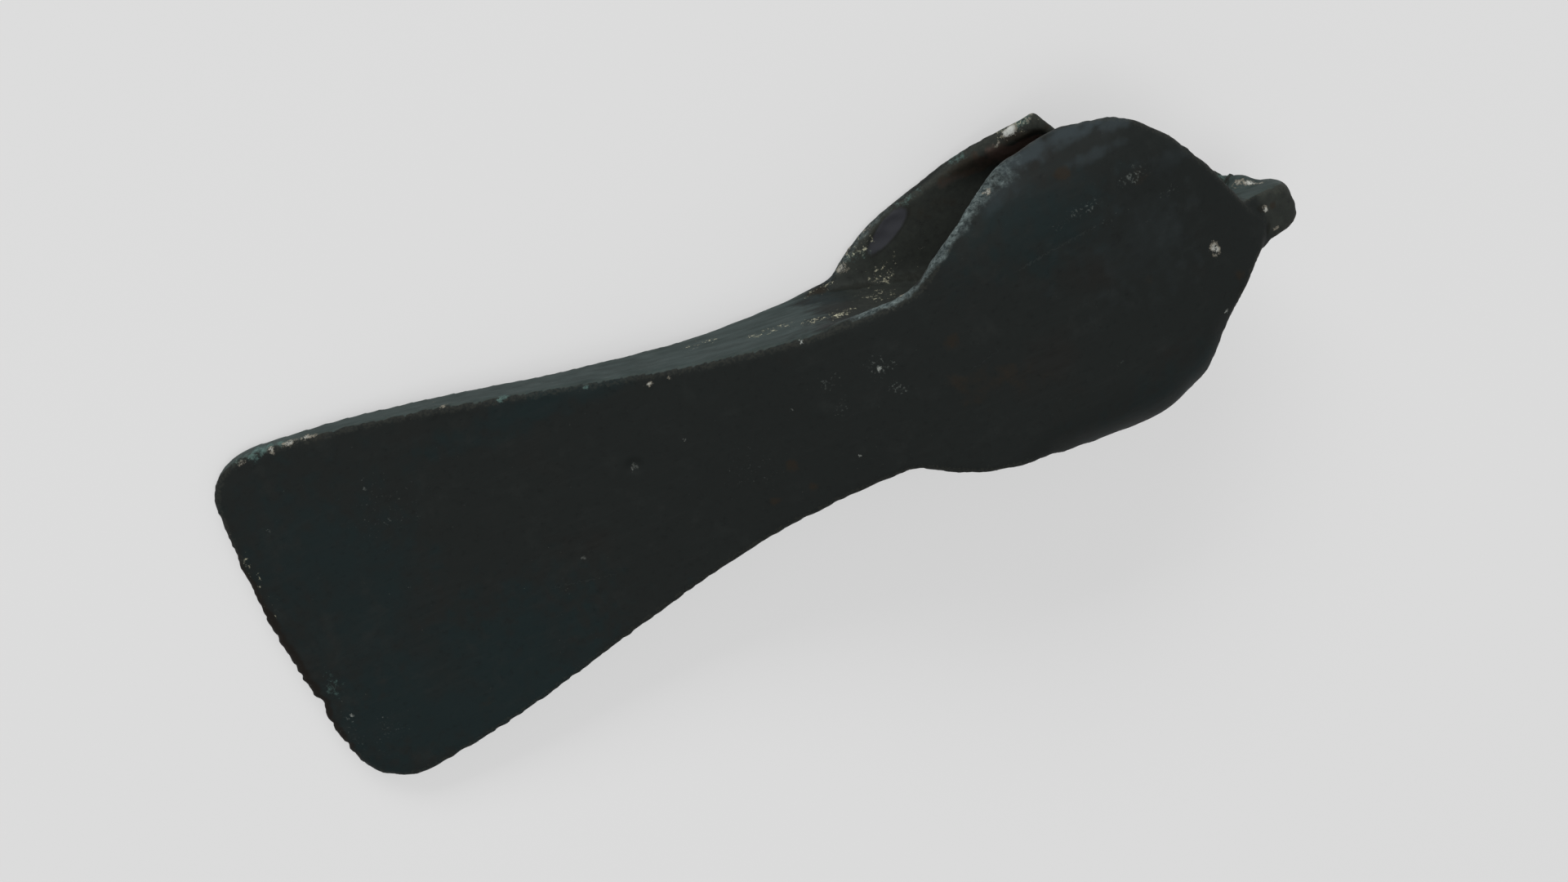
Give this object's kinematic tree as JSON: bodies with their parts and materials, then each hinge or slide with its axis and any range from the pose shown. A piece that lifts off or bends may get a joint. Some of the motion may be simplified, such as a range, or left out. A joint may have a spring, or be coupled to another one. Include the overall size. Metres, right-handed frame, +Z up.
{
  "type": "transverse-flanged axe head",
  "caption": "Bronze axe head of the transverse kind: a flared blade, and wings that fold over a channel in each narrow side to grip a forked haft, so the edge lies across the haft.",
  "frame": {"origin": "middle of the head's box, on the surface it lies on", "axes": "+X from the cutting edge to the butt, +Y towards the narrow side that faces up in the picture, +Z up from the surface, through the thickness"},
  "size_m": [0.1684, 0.06, 0.0281],
  "materials": {
    "axe_head": "bronze under a smooth, nearly black green patina"
  },
  "bodies": {
    "root": {"axe_head": "axe_head"}
  },
  "joints": []
}
